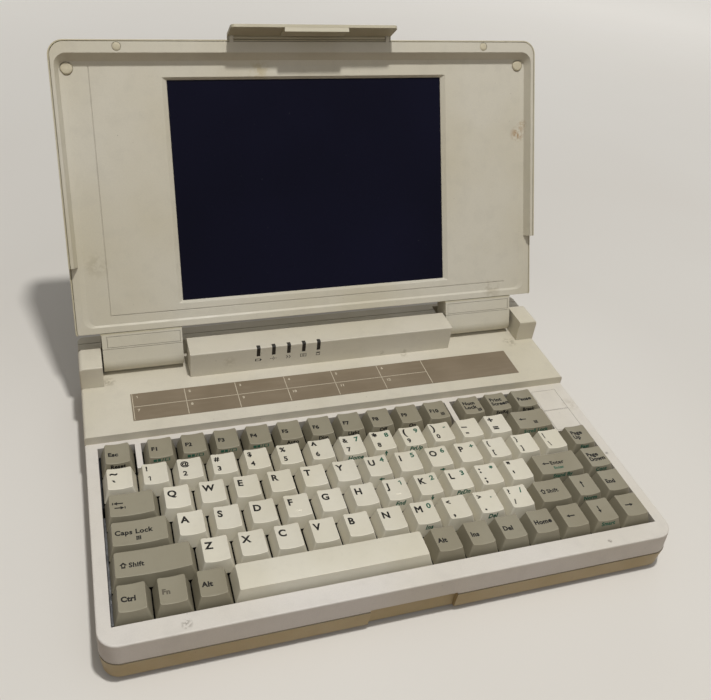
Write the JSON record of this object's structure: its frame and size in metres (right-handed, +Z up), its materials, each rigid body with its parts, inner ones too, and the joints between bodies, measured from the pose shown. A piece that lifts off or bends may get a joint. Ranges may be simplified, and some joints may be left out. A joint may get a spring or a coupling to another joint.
{
  "type": "laptop computer",
  "caption": "Early portable computer, opened: hinged screen lid with edge latch, full keyboard in a light frame, raised rear deck with indicator bar and hinge posts.",
  "frame": {"origin": "middle of the opened machine on the table, under its bounding box", "axes": "+Z up, -Y towards the user, +X to the user's right"},
  "size_m": [0.3113, 0.283, 0.2279],
  "materials": {
    "deck_beige": "matt, slightly yellowed",
    "frame_grey": "matt light grey",
    "housing_tan": "matt tan",
    "lid_beige": "matt, slightly yellowed",
    "latch_grey": "matt grey-beige",
    "strip_brown": "satin printed foil",
    "key_light": "matt off-white",
    "key_dark": "matt grey-beige",
    "pad_beige": "soft",
    "foot_rubber": "matt black",
    "window_black": "glossy black",
    "screen_dark": "satin near-black",
    "steel": "plain steel",
    "board_green": "circuit board",
    "inner_black": "matt black",
    "cell_grey": "battery wrap"
  },
  "bodies": {
    "base": {"lower_housing": "housing_tan", "keyboard_frame": "frame_grey", "rear_deck": "deck_beige", "status_bar": "deck_beige", "status_windows": "window_black", "label_strip": "strip_brown", "filler_plates": "frame_grey", "keyboard_plate": "inner_black", "key_guides": "inner_black", "main_board": "board_green", "floppy_drive": "housing_tan", "hard_drive": "steel", "battery_pack": "cell_grey", "battery_cover": "housing_tan", "port_connectors": "steel", "power_jack": "inner_black", "rubber_feet": "foot_rubber", "case_screws": "steel", "hinge_brackets": "steel"},
    "lid": {"lid_back_shell": "lid_beige", "lid_bezel": "lid_beige", "hinge_barrels": "lid_beige", "hinge_cover_plates": "lid_beige", "hinge_shafts": "steel", "display_panel": "screen_dark", "display_frame": "steel", "inverter_board": "board_green", "rim_caps": "pad_beige", "lid_bumpers": "pad_beige", "latch_pin": "steel"},
    "latch": {"latch_flap": "latch_grey", "latch_hook": "latch_grey"},
    "eject": {"eject_button": "key_dark"},
    "switch": {"power_switch": "key_dark"},
    "keys_function": {"keys_function": "key_dark"},
    "keys_system": {"keys_system": "key_dark"},
    "keys_number_row": {"keys_number_row": "key_light"},
    "keys_upper_row": {"keys_upper_row": "key_light"},
    "keys_home_row": {"keys_home_row": "key_light"},
    "keys_lower_row": {"keys_lower_row": "key_light"},
    "keys_navigation": {"keys_navigation": "key_dark"},
    "key_escape": {"key_escape": "key_dark"},
    "key_backspace": {"key_backspace": "key_dark"},
    "key_tab": {"key_tab": "key_dark"},
    "key_caps_lock": {"key_caps_lock": "key_dark"},
    "key_enter": {"key_enter": "key_dark"},
    "key_left_shift": {"key_left_shift": "key_dark"},
    "key_right_shift": {"key_right_shift": "key_dark"},
    "key_control": {"key_control": "key_dark"},
    "key_fn": {"key_fn": "key_dark"},
    "key_left_alt": {"key_left_alt": "key_dark"},
    "key_space": {"key_space": "key_light"},
    "key_right_alt": {"key_right_alt": "key_dark"},
    "key_arrow_up": {"key_arrow_up": "key_dark"},
    "key_arrow_left": {"key_arrow_left": "key_dark"},
    "key_arrow_down": {"key_arrow_down": "key_dark"},
    "key_arrow_right": {"key_arrow_right": "key_dark"}
  },
  "joints": [
    {"name": "lid_hinge", "type": "hinge", "parent": "base", "child": "lid", "pos_m": [0, 0.05, 0.0393], "axis": [-1, 0, 0], "range_deg": [-115.8, 20]},
    {"name": "latch_hinge", "type": "hinge", "parent": "lid", "child": "latch", "pos_m": [0, 0.12344, 0.21672], "axis": [-1, 0, 0], "range_deg": [-12, 40]},
    {"name": "eject_press", "type": "slide", "parent": "base", "child": "eject", "axis": [-1, 0, 0], "range_m": [0, 0.004], "stiffness_N_per_m": 150, "springref_m": -0.002},
    {"name": "power_slide", "type": "slide", "parent": "base", "child": "switch", "axis": [0, 1, 0], "range_m": [0, 0.004]},
    {"name": "keys_function_press", "type": "slide", "parent": "base", "child": "keys_function", "axis": [0, 0, -1], "range_m": [0, 0.003], "stiffness_N_per_m": 1500, "springref_m": -0.002},
    {"name": "keys_system_press", "type": "slide", "parent": "base", "child": "keys_system", "axis": [0, 0, -1], "range_m": [0, 0.003], "stiffness_N_per_m": 450, "springref_m": -0.002},
    {"name": "keys_number_row_press", "type": "slide", "parent": "base", "child": "keys_number_row", "axis": [0, 0, -1], "range_m": [0, 0.003], "stiffness_N_per_m": 1950, "springref_m": -0.002},
    {"name": "keys_upper_row_press", "type": "slide", "parent": "base", "child": "keys_upper_row", "axis": [0, 0, -1], "range_m": [0, 0.003], "stiffness_N_per_m": 1950, "springref_m": -0.002},
    {"name": "keys_home_row_press", "type": "slide", "parent": "base", "child": "keys_home_row", "axis": [0, 0, -1], "range_m": [0, 0.003], "stiffness_N_per_m": 1650, "springref_m": -0.002},
    {"name": "keys_lower_row_press", "type": "slide", "parent": "base", "child": "keys_lower_row", "axis": [0, 0, -1], "range_m": [0, 0.003], "stiffness_N_per_m": 1500, "springref_m": -0.002},
    {"name": "keys_navigation_press", "type": "slide", "parent": "base", "child": "keys_navigation", "axis": [0, 0, -1], "range_m": [0, 0.003], "stiffness_N_per_m": 900, "springref_m": -0.002},
    {"name": "key_escape_press", "type": "slide", "parent": "base", "child": "key_escape", "axis": [0, 0, -1], "range_m": [0, 0.003], "stiffness_N_per_m": 150, "springref_m": -0.002},
    {"name": "key_backspace_press", "type": "slide", "parent": "base", "child": "key_backspace", "axis": [0, 0, -1], "range_m": [0, 0.003], "stiffness_N_per_m": 150, "springref_m": -0.002},
    {"name": "key_tab_press", "type": "slide", "parent": "base", "child": "key_tab", "axis": [0, 0, -1], "range_m": [0, 0.003], "stiffness_N_per_m": 150, "springref_m": -0.002},
    {"name": "key_caps_lock_press", "type": "slide", "parent": "base", "child": "key_caps_lock", "axis": [0, 0, -1], "range_m": [0, 0.003], "stiffness_N_per_m": 150, "springref_m": -0.002},
    {"name": "key_enter_press", "type": "slide", "parent": "base", "child": "key_enter", "axis": [0, 0, -1], "range_m": [0, 0.003], "stiffness_N_per_m": 150, "springref_m": -0.002},
    {"name": "key_left_shift_press", "type": "slide", "parent": "base", "child": "key_left_shift", "axis": [0, 0, -1], "range_m": [0, 0.003], "stiffness_N_per_m": 150, "springref_m": -0.002},
    {"name": "key_right_shift_press", "type": "slide", "parent": "base", "child": "key_right_shift", "axis": [0, 0, -1], "range_m": [0, 0.003], "stiffness_N_per_m": 150, "springref_m": -0.002},
    {"name": "key_control_press", "type": "slide", "parent": "base", "child": "key_control", "axis": [0, 0, -1], "range_m": [0, 0.003], "stiffness_N_per_m": 150, "springref_m": -0.002},
    {"name": "key_fn_press", "type": "slide", "parent": "base", "child": "key_fn", "axis": [0, 0, -1], "range_m": [0, 0.003], "stiffness_N_per_m": 150, "springref_m": -0.002},
    {"name": "key_left_alt_press", "type": "slide", "parent": "base", "child": "key_left_alt", "axis": [0, 0, -1], "range_m": [0, 0.003], "stiffness_N_per_m": 150, "springref_m": -0.002},
    {"name": "key_space_press", "type": "slide", "parent": "base", "child": "key_space", "axis": [0, 0, -1], "range_m": [0, 0.003], "stiffness_N_per_m": 150, "springref_m": -0.002},
    {"name": "key_right_alt_press", "type": "slide", "parent": "base", "child": "key_right_alt", "axis": [0, 0, -1], "range_m": [0, 0.003], "stiffness_N_per_m": 150, "springref_m": -0.002},
    {"name": "key_arrow_up_press", "type": "slide", "parent": "base", "child": "key_arrow_up", "axis": [0, 0, -1], "range_m": [0, 0.003], "stiffness_N_per_m": 150, "springref_m": -0.002},
    {"name": "key_arrow_left_press", "type": "slide", "parent": "base", "child": "key_arrow_left", "axis": [0, 0, -1], "range_m": [0, 0.003], "stiffness_N_per_m": 150, "springref_m": -0.002},
    {"name": "key_arrow_down_press", "type": "slide", "parent": "base", "child": "key_arrow_down", "axis": [0, 0, -1], "range_m": [0, 0.003], "stiffness_N_per_m": 150, "springref_m": -0.002},
    {"name": "key_arrow_right_press", "type": "slide", "parent": "base", "child": "key_arrow_right", "axis": [0, 0, -1], "range_m": [0, 0.003], "stiffness_N_per_m": 150, "springref_m": -0.002}
  ]
}
